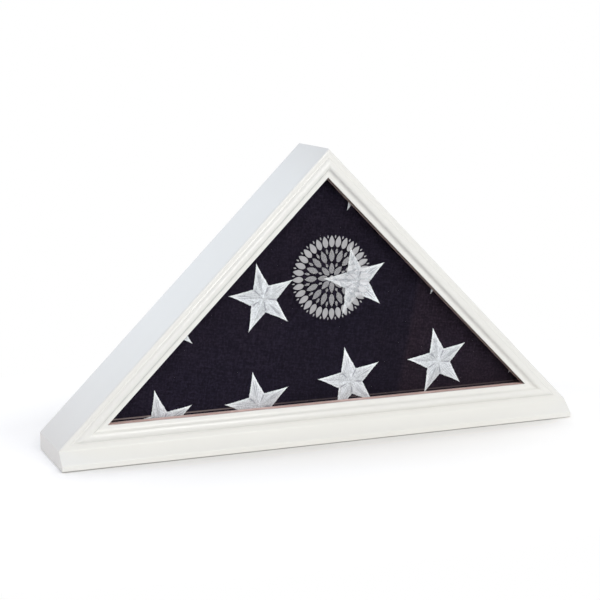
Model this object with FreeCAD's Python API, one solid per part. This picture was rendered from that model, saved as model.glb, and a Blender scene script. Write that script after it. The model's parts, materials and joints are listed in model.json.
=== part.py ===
import FreeCAD, Part
import os
from collections import namedtuple
from math import asin, atan, cos, pi, radians, sin, sqrt, tan

from FreeCAD import Vector

# Folded flag display case: a triangular box of mitred boards on a bevelled plinth, a mitred
# ogee frame with a glass pane in front, a folded flag inside and a hinged door at the back.
# Millimetres. X runs to the right, Y to the back, Z up from the underside of the plinth.

# Case and plinth
case_height = 336.5
body_depth = 88.0
plinth_thickness = 20.5
plinth_flare = 14.0
plinth_toe_top = 7.0
plinth_arris = 0.8
plinth_cove_radius = 1.5
plinth_relief_height = 0.9
plinth_relief_width = 9.0
board_thickness = 12.0

# Front frame: an ogee moulding, sized across its width and forward of its outer band
rail_width = 23.0
rail_depth = 19.0
band_width = 5.0
band_arris = 2.0
step_rise = 0.8
step_ease_run = 0.7
step_ease_angle = 22.0
fillet_width = 1.9
quirk_rise = 0.5
ovolo_run = 4.3
crest_height = 3.5
crest_width = 0.8
ogee_convex_share = 0.57
lip_width = 3.6
lip_recess = 1.8
lip_thickness = 2.5
lip_arris = 0.5
glass_rabbet = 7.0

# Glazing
glass_thickness = 2.5
glass_edge_gap = 0.8
glass_corner_cut = 14.0
stop_depth = 8.8
stop_edge_gap = 0.2
stop_bevel = 2.0
brad_radius = 0.6
brad_length = 14.0
brad_cover = 1.0
brads_per_stop = 3

# Joints of the box and the frame
spline_thickness = 3.0
spline_width = 8.0
spline_end_cover = 6.0
nail_thickness = 0.6
nail_leg = 6.0
nail_depth = 9.0
nail_inset = 5.0
block_leg = 22.0
block_depth = 12.0

# Countersunk screws
plinth_screw_head = 4.0
plinth_screw_shank = 2.0
plinth_screw_bite = 6.5
plinth_screw_sink = 0.5
plinth_screw_count = 4
plinth_screw_pitch = 150.0
hinge_screw_head = 2.2
hinge_screw_shank = 1.1
hinge_screw_bite = 7.8
door_screw_cover = 2.2
knob_screw_head = 3.0
knob_screw_shank = 1.5
knob_screw_bite = 5.0
recess_width = 0.5
recess_depth = 0.6
recess_reach = 1.4

# Folded flag
flag_front_gap = 1.0
flag_back_gap = 1.7
flag_side_gap = 2.0
flag_rest_gap = 0.3
flag_layers = 4
flag_fold_flat = 0.4
flag_corner_radius = 7.0

# Embroidered stars, on a leaning lattice across the front of the flag
star_points = 5
star_radius = 40.9
star_notch_ratio = 0.39
star_edge = 0.35
star_crown = 0.9
star_turn = 10.6
star_first_x = -72.1
star_first_z = 166.4
star_pitch = 115.6
star_rise = 7.5
row_pitch = 119.6
row_lean = 3.1
# How far some stars lie off the lattice: (place, row) to (across, up)
star_strays = {
    (0, 0): (-0.4, 1.8),
    (1, 0): (0.4, -0.4),
    (1, 1): (-0.1, 1.4),
    (2, 1): (0.0, 0.5),
    (0, 1): (0.4, -3.3),
    (-1, 1): (-1.0, 1.1),
}

# Back door
door_thickness = 6.0
door_rabbet_lip = 6.0
door_seat_gap = 0.3
door_side_gap = 1.4
door_foot_gap = 0.8
door_end_gap = 1.0

# Butt hinges
hinge_offset = 150.0
hinge_length = 30.0
hinge_leaf_height = 14.0
hinge_leaf_thickness = 1.2
hinge_barrel_radius = 2.4
hinge_barrel_gap = 0.3
hinge_knuckle_gap = 0.15
hinge_pin_radius = 1.2
hinge_pin_play = 0.06
hinge_pin_head = 0.8
hinge_pin_head_radius = 1.8
hinge_screw_offset = 9.0
hinge_screw_drop = 10.5

# Catch and knob
magnet_radius = 4.0
magnet_length = 6.0
plate_radius = 6.0
plate_thickness = 1.2
plate_sink = 0.1
catch_drop = 15.0
knob_drop = 44.0
knob_length = 13.0
knob_foot_radius = 4.0
knob_neck_radius = 3.0
knob_rim_radius = 2.5

# Reach of cutting shapes beyond what they cut, and the slack in picking edges
margin = 4.0
slack = 0.1

# Levels along Y, with the whole depth from the toe to the knob centred on the origin
hinge_axis_offset = hinge_barrel_radius + hinge_barrel_gap
hinge_reach = hinge_axis_offset + hinge_barrel_radius
rear_reach = max(hinge_reach, knob_length)
front_y = plinth_flare - (plinth_flare + body_depth + rear_reach) / 2
back_y = front_y + body_depth
toe_y = front_y - plinth_flare
box_front_y = front_y + rail_depth
glass_front_y = front_y + lip_recess + lip_thickness
glass_back_y = glass_front_y + glass_thickness
stop_back_y = glass_back_y + stop_depth
flag_front_y = max(stop_back_y, box_front_y) + flag_front_gap
door_front_y = back_y - door_thickness
rabbet_y = door_front_y - door_seat_gap
block_front_y = rabbet_y - block_depth
flag_back_y = block_front_y - flag_back_gap
flag_layer_depth = (flag_back_y - flag_front_y) / flag_layers
flag_fold_radius = flag_layer_depth / 2 - flag_fold_flat

# Levels along Z at the hinge line
door_foot_z = plinth_thickness + door_rabbet_lip + door_foot_gap
hinge_z = door_foot_z - door_foot_gap / 2
hinge_y = back_y + hinge_axis_offset

# Half of the sharp lower corner, and the sine and cosine of the 45 degree sides
half_corner = radians(22.5)
slope = sqrt(0.5)

Screw = namedtuple("Screw", "head_radius shank_radius length")
plinth_screw = Screw(
    plinth_screw_head, plinth_screw_shank, plinth_thickness - plinth_screw_sink + plinth_screw_bite
)
case_screw = Screw(hinge_screw_head, hinge_screw_shank, hinge_leaf_thickness + hinge_screw_bite)
door_screw = Screw(
    hinge_screw_head, hinge_screw_shank, hinge_leaf_thickness + door_thickness - door_screw_cover
)
knob_screw = Screw(knob_screw_head, knob_screw_shank, door_thickness + knob_screw_bite)


# The outer triangle has 45 degree sides: these place a line parallel to its three faces.
def apex_at(inset):
    return case_height - inset / slope


def foot_at(inset):
    return plinth_thickness + inset


def half_span(inset):
    return apex_at(inset) - foot_at(inset)


# Outlines, as (x, z) points, of the three mitred pieces between two insets
def mitred(outer, inner):
    left = [
        (-half_span(outer), foot_at(outer)),
        (0, apex_at(outer)),
        (0, apex_at(inner)),
        (-half_span(inner), foot_at(inner)),
    ]
    right = [(-x, z) for x, z in left]
    bottom = [left[0], left[3], right[3], right[0]]
    return {"left": left, "right": right, "bottom": bottom}


def prism(points, y_from, y_to):
    corners = [Vector(x, y_from, z) for x, z in points]
    face = Part.Face(Part.makePolygon(corners + corners[:1]))
    return face.extrude(Vector(0, y_to - y_from, 0))


def block(x_from, x_to, y_from, y_to, z_from, z_to):
    corner = Vector(x_from, y_from, z_from)
    return Part.makeBox(x_to - x_from, y_to - y_from, z_to - z_from, corner)


def cut_by(shape, *tools):
    for tool in tools:
        shape = shape.cut(tool)
    return shape


# A countersunk screw: its head face lies at a point and its shank runs along a direction.
def screw(size, head, direction):
    head_height = size.head_radius - size.shank_radius
    tip_height = 2 * size.shank_radius
    shank_height = size.length - head_height - tip_height
    shank_start = head + direction * head_height
    tip_start = shank_start + direction * shank_height
    cone = Part.makeCone(size.head_radius, size.shank_radius, head_height, head, direction)
    shank = Part.makeCylinder(size.shank_radius, shank_height, shank_start, direction)
    tip = Part.makeCone(size.shank_radius, 0, tip_height, tip_start, direction)
    return cone.fuse([shank, tip]).removeSplitter()


# The cross recess in the head of a screw that lies along Y
def cross_recess(head, direction):
    reach = recess_reach
    half = recess_width / 2
    y_from, y_to = sorted((head.y - direction.y, head.y + direction.y * recess_depth))
    upright = block(head.x - half, head.x + half, y_from, y_to, head.z - reach, head.z + reach)
    across = block(head.x - reach, head.x + reach, y_from, y_to, head.z - half, head.z + half)
    return upright.fuse(across)


# Base plinth: a board whose front edge is bevelled down to a short upright toe, with a cove
# where the bevel meets the frame. Its underside is cut back along the edges, so that it stands
# on its middle with a shadow line all round.
def make_plinth():
    end = half_span(0)
    run = front_y - plinth_cove_radius - toe_y
    rise = plinth_thickness - plinth_toe_top
    bevel_turn = atan(run / rise) + asin(plinth_cove_radius / sqrt(run**2 + rise**2))

    # a point on the cove, by its turn from the upright
    def cove(turn):
        ahead = plinth_cove_radius * (1 - cos(turn))
        return Vector(-end, front_y - ahead, plinth_thickness - plinth_cove_radius * sin(turn))

    toe_low = Vector(-end, toe_y, plinth_relief_height)
    toe_high = Vector(-end, toe_y, plinth_toe_top)
    top_back = Vector(-end, back_y, plinth_thickness)
    low_back = Vector(-end, back_y, plinth_relief_height)
    line = Part.LineSegment
    pieces = [
        line(toe_low, toe_high),
        line(toe_high, cove(bevel_turn)),
        Part.Arc(cove(bevel_turn), cove(bevel_turn / 2), cove(0)),
        line(cove(0), top_back),
        line(top_back, low_back),
        line(low_back, toe_low),
    ]
    face = Part.Face(Part.Wire([piece.toShape() for piece in pieces]))
    board = face.extrude(Vector(2 * end, 0, 0))
    front = [
        e for e in board.Edges
        if e.BoundBox.YMax < front_y + slack
        and (e.BoundBox.XLength < slack or e.BoundBox.ZMax < plinth_toe_top + slack)
    ]
    board = board.makeFillet(plinth_arris, front)
    inset = plinth_relief_width
    foot = block(-end + inset, end - inset, toe_y + inset, back_y - inset, 0, plinth_relief_height)
    return board.fuse(foot).removeSplitter()


def make_plinth_screws():
    mid_y = (box_front_y + back_y) / 2
    first_x = -plinth_screw_pitch * (plinth_screw_count - 1) / 2
    up = Vector(0, 0, 1)
    heads = [
        Vector(first_x + n * plinth_screw_pitch, mid_y, plinth_screw_sink)
        for n in range(plinth_screw_count)
    ]
    return [screw(plinth_screw, head, up) for head in heads]


def make_screw_sinks(screws):
    sinks = []
    for one in screws:
        centre = Vector(one.BoundBox.Center.x, one.BoundBox.Center.y, -margin)
        sinks.append(Part.makeCylinder(plinth_screw_head, plinth_screw_sink + margin, centre))
    return sinks


# Boards of the box, mitred at the apex and at the two sharp lower corners, with a rabbet
# along the back edge for the door. The rabbet stops at the corner blocks.
def make_boards(splines):
    stop_x = half_span(board_thickness) - block_leg
    within = block(-stop_x, stop_x, rabbet_y, back_y + margin, 0, case_height)
    boards = {}
    for name, outline in mitred(0, board_thickness).items():
        board = prism(outline, box_front_y, back_y)
        groove = prism(
            mitred(door_rabbet_lip, board_thickness + margin)[name], rabbet_y, back_y + margin
        )
        boards[name] = cut_by(board, groove.common(within), *splines)
    return boards


# Each corner's place on the mitre line, and the line's direction inwards, in (x, z)
def mitre_corners(inset):
    span, foot = half_span(inset), foot_at(inset)
    run, rise = cos(half_corner), sin(half_corner)
    return [
        ((0, apex_at(inset)), (0, -1)),
        ((-span, foot), (run, rise)),
        ((span, foot), (-run, rise)),
    ]


# A flat strip in the (x, z) plane from a point along a direction
def strip(start, direction, length, thickness):
    (x, z), (dx, dz) = start, direction
    side_x, side_z = -dz * thickness / 2, dx * thickness / 2
    end_x, end_z = x + dx * length, z + dz * length
    return [
        (x + side_x, z + side_z),
        (end_x + side_x, end_z + side_z),
        (end_x - side_x, end_z - side_z),
        (x - side_x, z - side_z),
    ]


def make_splines():
    splines = []
    for (x, z), (dx, dz) in mitre_corners(board_thickness / 2):
        start = (x + dz * spline_width / 2, z - dx * spline_width / 2)
        outline = strip(start, (-dz, dx), spline_width, spline_thickness)
        splines.append(
            prism(outline, box_front_y + spline_end_cover, rabbet_y - spline_end_cover)
        )
    return splines


def make_corner_blocks():
    outer = half_span(board_thickness)
    floor = foot_at(board_thickness)
    inner = outer - block_leg
    right = [(inner, floor), (outer, floor), (inner, floor + block_leg)]
    left = [(-x, z) for x, z in right]
    return {
        "left": prism(left, block_front_y, back_y),
        "right": prism(right, block_front_y, back_y),
    }


def make_apex_block():
    top = apex_at(board_thickness)
    outline = [(0, top), (-block_leg, top - block_leg), (block_leg, top - block_leg)]
    return prism(outline, block_front_y, rabbet_y)


# Section of the frame moulding in its own plane: across is measured inwards from the outer
# edge and ahead is measured forward of the outer band. From the band it steps up to a narrow
# fillet, an ovolo and a crest, then an ogee falls to the lip over the glass.
def moulding_section(at, arris):
    ovolo_start = band_width + fillet_width
    ovolo_rise = crest_height - step_rise - quirk_rise
    ovolo_turn = 2 * atan(ovolo_rise / ovolo_run)
    ovolo_radius = ovolo_run / sin(ovolo_turn)
    ovolo_end = ovolo_start + ovolo_run
    crest_end = ovolo_end + crest_width
    lip_start = rail_width - lip_width
    ogee_run = lip_start - crest_end
    ogee_drop = crest_height + lip_recess
    ogee_turn = 2 * atan(ogee_drop / ogee_run)
    radii = ogee_drop / (1 - cos(ogee_turn))
    convex = radii * ogee_convex_share
    concave = radii - convex
    rabbet_across = rail_width - glass_rabbet
    glass_ahead = -(lip_recess + lip_thickness)

    def ovolo(turn):
        return at(ovolo_end - ovolo_radius * sin(turn), crest_height - ovolo_radius * (1 - cos(turn)))

    def crown(turn):
        return at(crest_end + convex * sin(turn), crest_height - convex * (1 - cos(turn)))

    def hollow(turn):
        return at(lip_start - concave * sin(turn), concave * (1 - cos(turn)) - lip_recess)

    def corner(across, ahead, radius, turn):
        return at(across + radius * sin(turn), ahead + radius * cos(turn))

    step_in = band_width + step_ease_run
    step_low = step_rise - step_ease_run * tan(radians(step_ease_angle))
    lip_in = rail_width - lip_arris
    edge_ahead = -lip_recess - lip_arris
    line = Part.LineSegment
    arc = Part.Arc
    outer = [line(at(0, -rail_depth), at(0, -arris))]
    if arris:
        outer.append(arc(at(0, -arris), corner(arris, -arris, arris, -pi / 4), at(arris, 0)))
    pieces = [
        *outer,
        line(at(arris, 0), at(band_width, 0)),
        line(at(band_width, 0), at(band_width, step_low)),
        line(at(band_width, step_low), at(step_in, step_rise)),
        line(at(step_in, step_rise), at(ovolo_start, step_rise)),
        line(at(ovolo_start, step_rise), ovolo(ovolo_turn)),
        arc(ovolo(ovolo_turn), ovolo(ovolo_turn / 2), ovolo(0)),
        line(ovolo(0), crown(0)),
        arc(crown(0), crown(ogee_turn / 2), crown(ogee_turn)),
        arc(hollow(ogee_turn), hollow(ogee_turn / 2), hollow(0)),
        line(hollow(0), at(lip_in, -lip_recess)),
        arc(
            at(lip_in, -lip_recess),
            corner(lip_in, edge_ahead, lip_arris, pi / 4),
            at(rail_width, edge_ahead),
        ),
        line(at(rail_width, edge_ahead), at(rail_width, glass_ahead)),
        line(at(rail_width, glass_ahead), at(rabbet_across, glass_ahead)),
        line(at(rabbet_across, glass_ahead), at(rabbet_across, -rail_depth)),
        line(at(rabbet_across, -rail_depth), at(0, -rail_depth)),
    ]
    return Part.Face(Part.Wire([piece.toShape() for piece in pieces]))


# Where each rail starts, the way it runs and the way that leads inwards
def rail_axes():
    return {
        "left": (-half_span(0), Vector(slope, 0, slope), Vector(slope, 0, -slope)),
        "right": (half_span(0), Vector(-slope, 0, slope), Vector(-slope, 0, -slope)),
        "bottom": (-half_span(0), Vector(1, 0, 0), Vector(0, 0, 1)),
    }


def make_rails(nails):
    mitres = mitred(-margin, rail_width + margin)
    rails = {}
    for name, (start_x, along, inward) in rail_axes().items():
        run = 2 * half_span(0) if name == "bottom" else half_span(0) / slope
        start = Vector(start_x, front_y, plinth_thickness) - along * margin

        def at(across, ahead):
            return start + inward * across - Vector(0, ahead, 0)

        arris = 0 if name == "bottom" else band_arris
        sweep = moulding_section(at, arris).extrude(along * (run + 2 * margin))
        limit = prism(mitres[name], front_y - crest_height - margin, box_front_y + margin)
        rails[name] = cut_by(sweep.common(limit), *nails)
    return rails


# V nails, driven from the back of the rails across each mitre
def make_corner_nails():
    nails = []
    for centre, (dx, dz) in mitre_corners(nail_inset):
        legs = []
        for side in (-1, 1):
            way = ((dx - side * dz) * slope, (dz + side * dx) * slope)
            outline = strip(centre, way, nail_leg, nail_thickness)
            legs.append(prism(outline, box_front_y - nail_depth, box_front_y))
        nails.append(legs[0].fuse(legs[1]).removeSplitter())
    return nails


# Glass pane, loose in the rabbet, with its two sharp corners cut off
def make_glass():
    inset = rail_width - glass_rabbet + glass_edge_gap
    foot = foot_at(inset)
    end = half_span(inset) - glass_corner_cut
    shoulder = foot + glass_corner_cut
    outline = [(-end, foot), (-end, shoulder), (0, apex_at(inset)), (end, shoulder), (end, foot)]
    return prism(outline, glass_front_y, glass_back_y)


# Wooden strips behind the glass, with their rear inner edge bevelled
def make_stops(brads):
    outer = rail_width - glass_rabbet + stop_edge_gap
    bevel_y = stop_back_y - stop_bevel
    stops = {}
    for name, outline in mitred(outer, rail_width).items():
        front = prism(outline, glass_back_y, bevel_y)
        narrow = mitred(outer, rail_width - stop_bevel)[name]
        wires = [
            Part.makePolygon([Vector(x, y, z) for x, z in points + points[:1]])
            for points, y in ((outline, bevel_y), (narrow, stop_back_y))
        ]
        rear = Part.makeLoft(wires, True, True)
        stops[name] = cut_by(front.fuse(rear).removeSplitter(), *brads)
    return stops


# Headless pins through the strips into the rails, set below the surface
def make_brads():
    pin_y = (glass_back_y + stop_back_y - stop_bevel) / 2
    depth = rail_width - brad_cover
    brads = []
    for name, (start_x, along, inward) in rail_axes().items():
        run = 2 * half_span(0) if name == "bottom" else half_span(0) / slope
        start = Vector(start_x, pin_y, plinth_thickness)
        for n in range(brads_per_stop):
            share = (n + 1) / (brads_per_stop + 1)
            head = start + along * (run * share) + inward * depth
            brads.append(Part.makeCylinder(brad_radius, brad_length, head, inward * -1))
    return brads


# The folded flag: a stack of rounded folds, resting on the floor of the box
def flag_outline(inset):
    side = board_thickness + flag_side_gap + inset
    foot = foot_at(board_thickness) + flag_rest_gap + inset
    span = apex_at(side) - foot
    return [(-span, foot), (0, apex_at(side)), (span, foot)]


def make_flag():
    layers = []
    for n in range(flag_layers):
        start = flag_front_y + n * flag_layer_depth
        layer = prism(flag_outline(0), start, start + flag_layer_depth)
        corners = [e for e in layer.Edges if e.BoundBox.YLength > slack]
        layer = layer.makeFillet(flag_corner_radius, corners)
        rims = [e for e in layer.Edges if e.BoundBox.YLength < slack]
        layers.append(layer.makeFillet(flag_fold_radius, rims))
    return layers[0].fuse(layers[1:]).removeSplitter()


# A five-pointed star with a ridge along each arm, standing on the front of the flag
def make_star(centre_x, centre_z):
    rim = []
    count = 2 * star_points
    for n in range(count):
        radius = star_radius if n % 2 == 0 else star_radius * star_notch_ratio
        turn = pi / 2 + radians(star_turn) + n * pi / star_points
        rim.append((centre_x + radius * cos(turn), centre_z + radius * sin(turn)))
    low = [Vector(x, flag_front_y, z) for x, z in rim]
    high = [Vector(x, flag_front_y - star_edge, z) for x, z in rim]
    peak = Vector(centre_x, flag_front_y - star_crown, centre_z)
    faces = [Part.Face(Part.makePolygon(low + low[:1]))]
    for n in range(count):
        m = (n + 1) % count
        faces.append(Part.Face(Part.makePolygon([low[n], low[m], high[m], high[n], low[n]])))
        faces.append(Part.Face(Part.makePolygon([high[n], high[m], peak, high[n]])))
    solid = Part.makeSolid(Part.makeShell(faces))
    if solid.Volume < 0:
        solid.reverse()
    return solid


def make_stars():
    face = prism(flag_outline(flag_fold_radius), flag_front_y - margin, flag_front_y)
    rise, lean = radians(star_rise), radians(row_lean)
    reach = int(half_span(0) / min(star_pitch, row_pitch)) + 2
    stars = []
    for row in range(-reach, reach + 1):
        for place in range(-reach, reach + 1):
            x = star_first_x + place * star_pitch * cos(rise) - row * row_pitch * sin(lean)
            z = star_first_z + place * star_pitch * sin(rise) - row * row_pitch * cos(lean)
            stray_x, stray_z = star_strays.get((place, row), (0, 0))
            stars += make_star(x + stray_x, z + stray_z).common(face).Solids
    return stars


# Back door: a thin panel in the rabbet, cut short at the corner blocks
def make_door():
    side = door_rabbet_lip + door_side_gap
    end = half_span(board_thickness) - block_leg - door_end_gap
    shoulder = apex_at(side) - end
    outline = [
        (-end, door_foot_z),
        (-end, shoulder),
        (0, apex_at(side)),
        (end, shoulder),
        (end, door_foot_z),
    ]
    return prism(outline, door_front_y, back_y)


# A butt hinge at one place along X: both leaves lie on the back, the case leaf below the
# barrel and the door leaf above it. The case leaf has the two outer knuckles.
def make_hinge(centre_x):
    knuckle = hinge_length / 3
    start_x = centre_x - hinge_length / 2
    along = Vector(1, 0, 0)
    leaf_y = back_y + hinge_leaf_thickness
    notch = hinge_barrel_radius + hinge_barrel_gap

    def barrel(x_from, x_to, radius):
        return Part.makeCylinder(radius, x_to - x_from, Vector(x_from, hinge_y, hinge_z), along)

    mid_from = start_x + knuckle
    mid_to = mid_from + knuckle
    end_x = start_x + hinge_length
    outer = [(start_x, mid_from - hinge_knuckle_gap), (mid_to + hinge_knuckle_gap, end_x)]
    inner = [(mid_from + hinge_knuckle_gap, mid_to - hinge_knuckle_gap)]

    def leaf(side, knuckles, others, bore):
        low, high = sorted((hinge_z, hinge_z + side * hinge_leaf_height))
        plate = block(start_x, end_x, back_y, leaf_y, low, high)
        for x_from, x_to in others:
            x_low = x_from - 2 * hinge_knuckle_gap
            x_high = x_to + 2 * hinge_knuckle_gap
            plate = plate.cut(
                block(x_low, x_high, back_y - margin, leaf_y + margin, hinge_z - notch, hinge_z + notch)
            )
        rolled = plate.fuse([barrel(x_from, x_to, hinge_barrel_radius) for x_from, x_to in knuckles])
        return rolled.cut(barrel(start_x - margin, end_x + margin, bore)).removeSplitter()

    case_leaf = leaf(-1, outer, inner, hinge_pin_radius)
    door_leaf = leaf(1, inner, outer, hinge_pin_radius + hinge_pin_play)
    heads = [
        barrel(start_x - hinge_pin_head, start_x, hinge_pin_head_radius),
        barrel(end_x, end_x + hinge_pin_head, hinge_pin_head_radius),
    ]
    pin = barrel(start_x, end_x, hinge_pin_radius).fuse(heads).removeSplitter()
    return case_leaf, door_leaf, pin


# Head faces of the screws in one leaf: below the barrel over the plinth, above it over the door
def hinge_heads(centre_x, side):
    z = hinge_z + side * hinge_screw_drop
    y = back_y + hinge_leaf_thickness
    return [Vector(centre_x + end * hinge_screw_offset, y, z) for end in (-1, 1)]


# Knob: turned on its own axis along Y, a round-edged head on a waisted neck
def make_knob(centre_z):
    def at(radius, out):
        return Vector(radius, back_y + out, centre_z)

    head_out = knob_length - 2 * knob_rim_radius
    foot = at(knob_foot_radius, 0)
    waist = at(knob_neck_radius, head_out / 2)
    head = at(knob_foot_radius, head_out)
    rim = at(knob_foot_radius + knob_rim_radius, knob_length - knob_rim_radius)
    crown = at(knob_foot_radius, knob_length)
    pieces = [
        Part.LineSegment(at(0, 0), foot),
        Part.Arc(foot, waist, head),
        Part.Arc(head, rim, crown),
        Part.LineSegment(crown, at(0, knob_length)),
        Part.LineSegment(at(0, knob_length), at(0, 0)),
    ]
    face = Part.Face(Part.Wire([piece.toShape() for piece in pieces]))
    return face.revolve(Vector(0, 0, centre_z), Vector(0, 1, 0), 360)


back = Vector(0, 1, 0)
inwards = Vector(0, -1, 0)
parts = {}

# Box
plinth_screws = make_plinth_screws()
splines = make_splines()
boards = make_boards(splines)
corner_blocks = make_corner_blocks()
parts["plinth_screws"] = plinth_screws
parts["mitre_splines"] = splines
parts["bottom_panel"] = [cut_by(boards["bottom"], *plinth_screws)]
for side in ("left", "right"):
    parts["side_panel_" + side] = [boards[side]]
    parts["corner_block_" + side] = [corner_blocks[side]]

# Frame and glazing
nails = make_corner_nails()
brads = make_brads()
parts["frame_corner_nails"] = nails
parts["glazing_brads"] = brads
for name, rail in make_rails(nails).items():
    parts["frame_rail_" + name] = [cut_by(rail, *brads)]
for name, stop in make_stops(brads).items():
    parts["glazing_stop_" + name] = [stop]
parts["glass_pane"] = [make_glass()]

# Contents
parts["folded_flag"] = [make_flag()]
parts["embroidered_stars"] = make_stars()

# Hinges, with their screws cut out of what they hold
case_screws = []
door_screws = []
parts["hinge_case_screws"] = []
parts["hinge_door_screws"] = []
for side, centre_x in (("left", -hinge_offset), ("right", hinge_offset)):
    case_leaf, door_leaf, pin = make_hinge(centre_x)
    for head in hinge_heads(centre_x, -1):
        case_screws.append(screw(case_screw, head, inwards))
        parts["hinge_case_screws"].append(case_screws[-1].cut(cross_recess(head, inwards)))
    for head in hinge_heads(centre_x, 1):
        door_screws.append(screw(door_screw, head, inwards))
        parts["hinge_door_screws"].append(door_screws[-1].cut(cross_recess(head, inwards)))
    parts["hinge_case_leaf_" + side] = [cut_by(case_leaf, *case_screws)]
    parts["hinge_door_leaf_" + side] = [cut_by(door_leaf, *door_screws)]
    parts["hinge_pin_" + side] = [pin]
parts["base_plinth"] = [
    cut_by(make_plinth(), *plinth_screws, *make_screw_sinks(plinth_screws), *case_screws)
]

# Magnetic catch: a magnet in the apex block faces a steel plate let into the door
catch_z = apex_at(board_thickness) - catch_drop
magnet_foot = Vector(0, rabbet_y - magnet_length, catch_z)
magnet = Part.makeCylinder(magnet_radius, magnet_length, magnet_foot, back)
plate_foot = Vector(0, door_front_y + plate_sink, catch_z)
pocket_foot = Vector(0, door_front_y, catch_z)
pocket = Part.makeCylinder(plate_radius, plate_sink + plate_thickness, pocket_foot, back)
parts["catch_magnet"] = [magnet]
parts["apex_block"] = [make_apex_block().cut(magnet)]
parts["catch_plate"] = [Part.makeCylinder(plate_radius, plate_thickness, plate_foot, back)]

# Knob, held by a screw from inside the door
knob_z = apex_at(board_thickness) - knob_drop
knob_head = Vector(0, door_front_y, knob_z)
knob_fastener = screw(knob_screw, knob_head, back)
parts["knob_screw"] = [knob_fastener.cut(cross_recess(knob_head, back))]
parts["door_knob"] = [make_knob(knob_z).cut(knob_fastener)]
parts["back_door_panel"] = [cut_by(make_door(), *door_screws, knob_fastener, pocket)]

os.makedirs("parts", exist_ok=True)
for node, solids in parts.items():
    shape = solids[0] if len(solids) == 1 else Part.makeCompound(solids)
    shape.exportStep("parts/" + node + ".step")
    print(node, len(shape.Solids), "valid" if shape.isValid() else "not valid", round(shape.Volume))
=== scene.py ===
import json
from math import cos, pi, radians, sin, sqrt

import bmesh
import bpy
import numpy as np
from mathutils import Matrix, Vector


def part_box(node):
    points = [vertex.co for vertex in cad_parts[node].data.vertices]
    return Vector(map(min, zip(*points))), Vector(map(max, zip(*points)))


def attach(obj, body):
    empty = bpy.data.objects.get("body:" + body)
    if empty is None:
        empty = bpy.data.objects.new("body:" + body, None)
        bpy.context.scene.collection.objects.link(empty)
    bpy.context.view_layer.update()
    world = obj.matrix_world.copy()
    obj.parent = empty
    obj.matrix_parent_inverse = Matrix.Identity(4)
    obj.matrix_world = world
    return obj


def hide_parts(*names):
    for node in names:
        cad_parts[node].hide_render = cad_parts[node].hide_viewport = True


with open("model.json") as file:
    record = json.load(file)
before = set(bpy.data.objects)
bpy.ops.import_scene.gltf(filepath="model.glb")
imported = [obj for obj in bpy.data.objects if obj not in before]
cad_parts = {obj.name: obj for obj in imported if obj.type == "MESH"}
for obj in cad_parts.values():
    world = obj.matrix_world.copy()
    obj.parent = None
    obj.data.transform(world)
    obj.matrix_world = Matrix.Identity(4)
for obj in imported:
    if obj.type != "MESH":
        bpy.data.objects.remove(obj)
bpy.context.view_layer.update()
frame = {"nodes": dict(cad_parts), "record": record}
nodes = frame["nodes"]
subparts = frame["record"]["subparts"]
scene = bpy.context.scene
print("frame:", len(nodes), "nodes")

# Lengths are metres, colours are linear, angles are degrees
cameraView = {
    "place": (-0.69527, -1.65686, 0.48072),
    "turn": 22.254,  # to the right of straight ahead
    "tilt": 10.194,  # down
    "lens": 94.282,  # mm
    "sensor": 36.0,  # mm
}

camera = bpy.data.objects.new("camera", bpy.data.cameras.new("camera"))
scene.collection.objects.link(camera)
camera.data.lens = cameraView["lens"]
camera.data.sensor_width = cameraView["sensor"]
camera.location = cameraView["place"]
camera.rotation_euler = (radians(90 - cameraView["tilt"]), 0, radians(-cameraView["turn"]))
scene.camera = camera
scene.view_settings.view_transform = "Standard"
print("camera set")


# Fills the inputs of a shader node with values or with the outputs of other nodes
def setInputs(tree, node, values):
    for name, value in values.items():
        if isinstance(value, bpy.types.NodeSocket):
            tree.links.new(value, node.inputs[name])
        else:
            node.inputs[name].default_value = value


# Adds a shader node, sets its options, then fills its inputs
def addNode(tree, kind, inputs=None, **options):
    made = tree.nodes.new("ShaderNode" + kind)
    for name, value in options.items():
        setattr(made, name, value)
    setInputs(tree, made, inputs or {})
    return made


def maths(tree, operation, *values):
    return addNode(tree, "Math", dict(enumerate(values)), operation=operation).outputs[0]


# Maps low..high to toLow..toHigh and holds the ends
def remap(tree, value, low, high, toLow, toHigh):
    inputs = {"Value": value, "From Min": low, "From Max": high, "To Min": toLow, "To Max": toHigh}
    return addNode(tree, "MapRange", inputs).outputs[0]


def mixColour(tree, share, first, second):
    inputs = {0: share, 6: (*first, 1) if isinstance(first, tuple) else first}
    inputs[7] = (*second, 1) if isinstance(second, tuple) else second
    return addNode(tree, "Mix", inputs, data_type="RGBA").outputs[2]


def stretch(tree, vector, factors):
    return addNode(tree, "VectorMath", {0: vector, 1: factors}, operation="MULTIPLY").outputs[0]


# Multiplies a colour by one value
def dimColour(tree, colour, share):
    even = addNode(tree, "CombineXYZ", {0: share, 1: share, 2: share}).outputs[0]
    return stretch(tree, colour, even)


def noise(tree, vector, scale, detail=2.0, rough=0.5, twist=0.0):
    inputs = {"Vector": vector, "Scale": scale, "Detail": detail, "Roughness": rough, "Distortion": twist}
    return addNode(tree, "TexNoise", inputs).outputs[0]


def bumpFrom(tree, height, strength, distance):
    inputs = {"Height": height, "Strength": strength, "Distance": distance}
    return addNode(tree, "Bump", inputs).outputs[0]


# Places a node group and gives its outputs
def useGroup(tree, group, inputs):
    return addNode(tree, "Group", inputs, node_tree=group).outputs


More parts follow.
